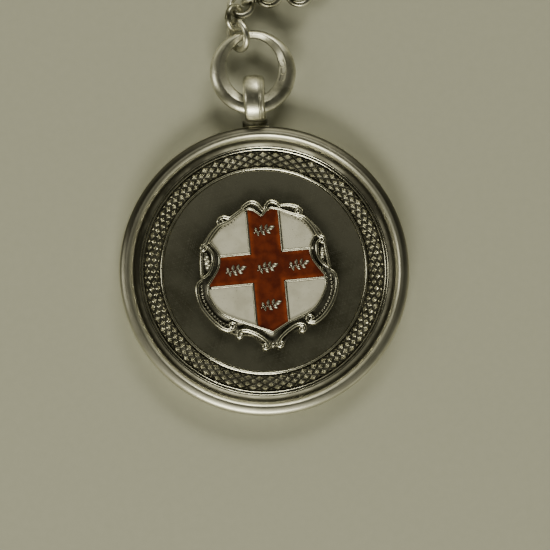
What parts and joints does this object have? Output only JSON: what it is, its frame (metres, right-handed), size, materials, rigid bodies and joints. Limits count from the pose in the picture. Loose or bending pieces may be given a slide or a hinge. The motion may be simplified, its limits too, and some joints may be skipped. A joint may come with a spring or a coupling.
{
  "type": "pocket watch chain",
  "caption": "Short silver fob chain: round enamelled medal on a heavy ring, a cable chain of jointed round links and a swivel clip for the watch.",
  "frame": {"origin": "centre of the medal's flat back face", "axes": "+Z out of the medal's face, +Y from the medal towards the bail and along the chain, +X to the right"},
  "size_m": [0.032, 0.1032, 0.0047],
  "materials": {
    "field_silver": "aged sterling silver, fine wear scratches, tarnish in the recesses",
    "rim_silver": "polished sterling silver, lightly worn",
    "border_silver": "engine-turned sterling silver, oxidised in the cuts",
    "frame_silver": "cast and chased sterling silver, oxidised in the hollows",
    "red_enamel": "translucent red vitreous enamel, gloss",
    "white_enamel": "opaque white vitreous enamel, gloss",
    "bail_silver": "polished sterling silver, worn",
    "ring_silver": "polished sterling silver, worn",
    "chain_silver": "polished sterling silver wire",
    "clip_silver": "polished sterling silver",
    "pin_steel": "hard-drawn steel wire"
  },
  "bodies": {
    "medal": {"back_plate": "field_silver", "rim_ring": "rim_silver", "border_ring": "border_silver", "shield_frame": "frame_silver", "enamel_cross": "red_enamel", "enamel_quarters": "white_enamel", "leaf_sprigs": "frame_silver", "bail_loop": "bail_silver", "bail_foot": "bail_silver"},
    "fob_ring": {"fob_ring": "ring_silver"},
    "link_01": {"link_01": "chain_silver"},
    "link_02": {"link_02": "chain_silver"},
    "link_03": {"link_03": "chain_silver"},
    "link_04": {"link_04": "chain_silver"},
    "link_05": {"link_05": "chain_silver"},
    "link_06": {"link_06": "chain_silver"},
    "link_07": {"link_07": "chain_silver"},
    "link_08": {"link_08": "chain_silver"},
    "link_09": {"link_09": "chain_silver"},
    "link_10": {"link_10": "chain_silver"},
    "link_11": {"link_11": "chain_silver"},
    "link_12": {"link_12": "chain_silver"},
    "link_13": {"link_13": "chain_silver"},
    "link_14": {"link_14": "chain_silver"},
    "link_15": {"link_15": "chain_silver"},
    "link_16": {"link_16": "chain_silver"},
    "link_17": {"link_17": "chain_silver"},
    "link_18": {"link_18": "chain_silver"},
    "link_19": {"link_19": "chain_silver"},
    "link_20": {"link_20": "chain_silver"},
    "link_21": {"link_21": "chain_silver"},
    "link_22": {"link_22": "chain_silver"},
    "link_23": {"link_23": "chain_silver"},
    "link_24": {"link_24": "chain_silver"},
    "link_25": {"link_25": "chain_silver"},
    "link_26": {"link_26": "chain_silver"},
    "link_27": {"link_27": "chain_silver"},
    "link_28": {"link_28": "chain_silver"},
    "link_29": {"link_29": "chain_silver"},
    "link_30": {"link_30": "chain_silver"},
    "end_ring": {"end_ring": "chain_silver"},
    "swivel_eye": {"swivel_eye": "clip_silver", "swivel_rivet": "clip_silver"},
    "clip_hook": {"clip_hook": "clip_silver", "gate_pin": "pin_steel", "gate_spring": "pin_steel"},
    "clip_gate": {"clip_gate": "clip_silver"}
  },
  "joints": [
    {"name": "ring_swing", "type": "hinge", "parent": "medal", "child": "fob_ring", "pos_m": [0, 0.0182, 0.00236], "axis": [1, 0, 0], "range_deg": [-95, 95]},
    {"name": "link_01_swing", "type": "hinge", "parent": "fob_ring", "child": "link_01", "pos_m": [-0.00131, 0.02599, 0.00195], "axis": [-0.9511, -0.3086, 0.0162], "range_deg": [-40, 40]},
    {"name": "link_02_swing", "type": "hinge", "parent": "link_01", "child": "link_02", "pos_m": [-0.00177, 0.02773, 0.00195], "axis": [0.483, 0.1294, 0.866], "range_deg": [-11.19, 68.81]},
    {"name": "link_03_swing", "type": "hinge", "parent": "link_02", "child": "link_03", "pos_m": [-0.00127, 0.02937, 0.00193], "axis": [0.6038, -0.2301, -0.7632], "range_deg": [-64.03, 15.97]},
    {"name": "link_04_swing", "type": "hinge", "parent": "link_03", "child": "link_04", "pos_m": [0.00011, 0.03041, 0.0015], "axis": [0.6781, -0.6821, 0.2739], "range_deg": [-39.72, 40.28]},
    {"name": "link_05_swing", "type": "hinge", "parent": "link_04", "child": "link_05", "pos_m": [0.00188, 0.03072, 0.00161], "axis": [-0.0044, -0.0016, 1], "range_deg": [-20, 60]},
    {"name": "link_06_swing", "type": "hinge", "parent": "link_05", "child": "link_06", "pos_m": [0.00358, 0.03072, 0.00165], "axis": [0, -1, 0], "range_deg": [-39.61, 40.39]},
    {"name": "link_07_swing", "type": "hinge", "parent": "link_06", "child": "link_07", "pos_m": [0.00527, 0.03046, 0.00166], "axis": [0.0098, -0.001, -1], "range_deg": [-14, 66]},
    {"name": "link_08_swing", "type": "hinge", "parent": "link_07", "child": "link_08", "pos_m": [0.00686, 0.03104, 0.00166], "axis": [-0.342, 0.9397, 0], "range_deg": [-40.14, 39.86]},
    {"name": "link_09_swing", "type": "hinge", "parent": "link_08", "child": "link_09", "pos_m": [0.00778, 0.03263, 0.00166], "axis": [0, 0, 1], "range_deg": [-66, 14]},
    {"name": "link_10_swing", "type": "hinge", "parent": "link_09", "child": "link_10", "pos_m": [0.00825, 0.03426, 0.00166], "axis": [0.9613, -0.2756, 0], "range_deg": [-39.93, 40.07]},
    {"name": "link_11_swing", "type": "hinge", "parent": "link_10", "child": "link_11", "pos_m": [0.00764, 0.03596, 0.00166], "axis": [0.0864, 0.0117, -0.9962], "range_deg": [-36.5, 43.5]},
    {"name": "link_12_swing", "type": "hinge", "parent": "link_11", "child": "link_12", "pos_m": [0.00727, 0.03762, 0.00165], "axis": [-0.9612, -0.2143, -0.1736], "range_deg": [-39.92, 40.08]},
    {"name": "link_13_swing", "type": "hinge", "parent": "link_12", "child": "link_13", "pos_m": [0.0068, 0.03925, 0.00162], "axis": [-0.253, -0.0558, 0.9659], "range_deg": [-41.09, 38.91]},
    {"name": "link_14_swing", "type": "hinge", "parent": "link_13", "child": "link_14", "pos_m": [0.00634, 0.04089, 0.0016], "axis": [0.902, 0.2635, 0.342], "range_deg": [-39.55, 40.45]},
    {"name": "link_15_swing", "type": "hinge", "parent": "link_14", "child": "link_15", "pos_m": [0.00588, 0.04253, 0.00156], "axis": [0.4124, 0.0945, -0.9061], "range_deg": [-41.42, 38.58]},
    {"name": "link_16_swing", "type": "hinge", "parent": "link_15", "child": "link_16", "pos_m": [0.00548, 0.04418, 0.0015], "axis": [-0.8374, -0.2212, -0.4998], "range_deg": [-41.56, 38.44]},
    {"name": "link_17_swing", "type": "hinge", "parent": "link_16", "child": "link_17", "pos_m": [0.00519, 0.04585, 0.00147], "axis": [-0.5679, -0.0843, 0.8188], "range_deg": [-37.12, 42.88]},
    {"name": "link_18_swing", "type": "hinge", "parent": "link_17", "child": "link_18", "pos_m": [0.00501, 0.04754, 0.00137], "axis": [0.7573, 0.1182, 0.6423], "range_deg": [-37.23, 42.77]},
    {"name": "link_19_swing", "type": "hinge", "parent": "link_18", "child": "link_19", "pos_m": [0.00497, 0.04924, 0.00134], "axis": [0.7076, 0.0038, -0.7066], "range_deg": [-43.77, 36.23]},
    {"name": "link_20_swing", "type": "hinge", "parent": "link_19", "child": "link_20", "pos_m": [0.00507, 0.05094, 0.00126], "axis": [-0.7073, 0.0108, -0.7069], "range_deg": [-42.2, 37.8]},
    {"name": "link_21_swing", "type": "hinge", "parent": "link_20", "child": "link_21", "pos_m": [0.00532, 0.05263, 0.0013], "axis": [-0.7018, 0.0861, 0.7071], "range_deg": [-37.32, 42.68]},
    {"name": "link_22_swing", "type": "hinge", "parent": "link_21", "child": "link_22", "pos_m": [0.00567, 0.05429, 0.00127], "axis": [0.6948, -0.1311, 0.7071], "range_deg": [-38.27, 41.73]},
    {"name": "link_23_swing", "type": "hinge", "parent": "link_22", "child": "link_23", "pos_m": [0.0061, 0.05594, 0.0013], "axis": [0.6875, -0.1654, -0.7071], "range_deg": [-40.96, 39.04]},
    {"name": "link_24_swing", "type": "hinge", "parent": "link_23", "child": "link_24", "pos_m": [0.00657, 0.05757, 0.00129], "axis": [-0.6812, 0.1895, -0.7071], "range_deg": [-40.16, 39.84]},
    {"name": "link_25_swing", "type": "hinge", "parent": "link_24", "child": "link_25", "pos_m": [0.00704, 0.0592, 0.00129], "axis": [-0.6801, 0.1934, 0.7071], "range_deg": [-40.78, 39.22]},
    {"name": "link_26_swing", "type": "hinge", "parent": "link_25", "child": "link_26", "pos_m": [0.00747, 0.06085, 0.0013], "axis": [0.6832, -0.1821, 0.7071], "range_deg": [-41.58, 38.42]},
    {"name": "link_27_swing", "type": "hinge", "parent": "link_26", "child": "link_27", "pos_m": [0.00783, 0.06251, 0.00128], "axis": [0.69, -0.1546, -0.7071], "range_deg": [-37.74, 42.26]},
    {"name": "link_28_swing", "type": "hinge", "parent": "link_27", "child": "link_28", "pos_m": [0.00807, 0.0642, 0.00131], "axis": [-0.698, 0.113, -0.7071], "range_deg": [-37.26, 42.74]},
    {"name": "link_29_swing", "type": "hinge", "parent": "link_28", "child": "link_29", "pos_m": [0.00817, 0.06589, 0.00127], "axis": [-0.7045, 0.0611, 0.7071], "range_deg": [-42.97, 37.03]},
    {"name": "link_30_swing", "type": "hinge", "parent": "link_29", "child": "link_30", "pos_m": [0.00814, 0.0676, 0.00132], "axis": [0.7071, -0.0034, 0.7071], "range_deg": [-42.94, 37.06]},
    {"name": "end_ring_swing", "type": "hinge", "parent": "link_30", "child": "end_ring", "pos_m": [0.00796, 0.06929, 0.00127], "axis": [-0.705, -0.0546, 0.7071], "range_deg": [-25, 25]},
    {"name": "eye_swing", "type": "hinge", "parent": "end_ring", "child": "swivel_eye", "pos_m": [0.00799, 0.07136, 0.00146], "axis": [0.7071, 0, 0.7071], "range_deg": [-40, 40]},
    {"name": "clip_swivel", "type": "hinge", "parent": "swivel_eye", "child": "clip_hook", "pos_m": [0.00799, 0.07179, 0.00146], "axis": [0, 1, 0], "continuous": true},
    {"name": "gate_open", "type": "hinge", "parent": "clip_hook", "child": "clip_gate", "pos_m": [0.0109, 0.07826, 0.00146], "axis": [0, 0, 1], "range_deg": [0, 32], "stiffness_Nm_per_rad": 0.0004, "springref_deg": -20.05}
  ]
}
